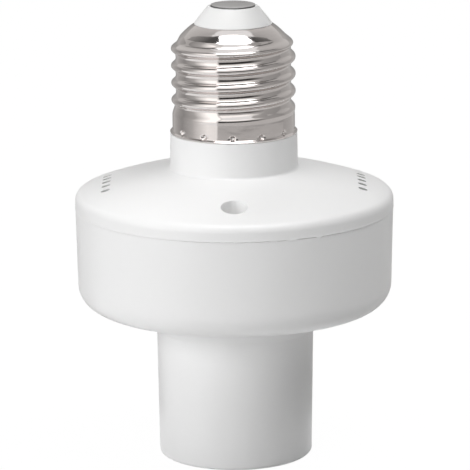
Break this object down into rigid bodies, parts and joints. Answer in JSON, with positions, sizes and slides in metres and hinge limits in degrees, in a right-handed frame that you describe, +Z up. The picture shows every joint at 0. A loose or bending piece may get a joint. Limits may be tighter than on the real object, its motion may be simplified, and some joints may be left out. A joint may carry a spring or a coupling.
{
  "type": "smart lamp socket",
  "caption": "Plug-in smart lamp socket: screw cap on top, round vented electronics case with a recessed push button, and a lamp holder barrel below.",
  "frame": {"origin": "centre of the barrel's lower rim, on the common axis of the screw cap and the lamp holder", "axes": "+Z up the axis from the lamp holder to the screw cap's tip; the push button is at -Y, the front; X runs to the right seen from the front"},
  "size_m": [0.067, 0.067, 0.0967],
  "materials": {
    "white_plastic": "satin moulded white",
    "nickel": "bright nickel plate on rolled sheet",
    "white_insulator": "moulded white",
    "button_plastic": "fine matt",
    "holder_metal": "nickel plate",
    "holder_base": "heat-proof moulding",
    "steel": "zinc plate",
    "contact_brass": "plain",
    "board_green": "solder mask",
    "component_blue": "plain",
    "component_yellow": "plain",
    "component_black": "plain",
    "component_can": "sleeved can",
    "component_grey": "plain",
    "led_lens": "clear",
    "wire_brown": "insulated",
    "wire_blue": "insulated"
  },
  "bodies": {
    "housing": {"lower_housing": "white_plastic", "upper_cover": "white_plastic", "cap_shell": "nickel", "cap_insulator": "white_insulator", "cap_contact": "nickel", "lampholder_shell": "holder_metal", "lampholder_base": "holder_base", "holder_screws": "steel", "contact_spring": "steel", "contact_plate": "contact_brass", "circuit_board": "board_green", "board_screws": "steel", "relay": "component_blue", "mains_capacitor": "component_yellow", "power_transformer": "component_black", "large_can_capacitor": "component_can", "small_can_capacitor": "component_can", "bridge_rectifier": "component_black", "fuse_resistor": "component_grey", "varistor": "component_blue", "voltage_regulator": "component_black", "radio_module": "board_green", "radio_chip": "component_black", "antenna_coil": "contact_brass", "tact_switch": "component_black", "status_led": "led_lens", "live_feed_wire": "wire_brown", "neutral_feed_wire": "wire_blue", "lamp_live_wire": "wire_brown", "lamp_neutral_wire": "wire_blue"},
    "button": {"pairing_button": "button_plastic", "switch_plunger": "component_black"},
    "contact": {"centre_contact": "contact_brass", "contact_clip": "steel"}
  },
  "joints": [
    {"name": "button_press", "type": "slide", "parent": "housing", "child": "button", "axis": [0, 0, -1], "range_m": [0, 0.0003], "stiffness_N_per_m": 3000},
    {"name": "contact_press", "type": "slide", "parent": "housing", "child": "contact", "axis": [0, 0, 1], "range_m": [0, 0.002], "stiffness_N_per_m": 1500, "deforming": ["contact_spring"]}
  ]
}
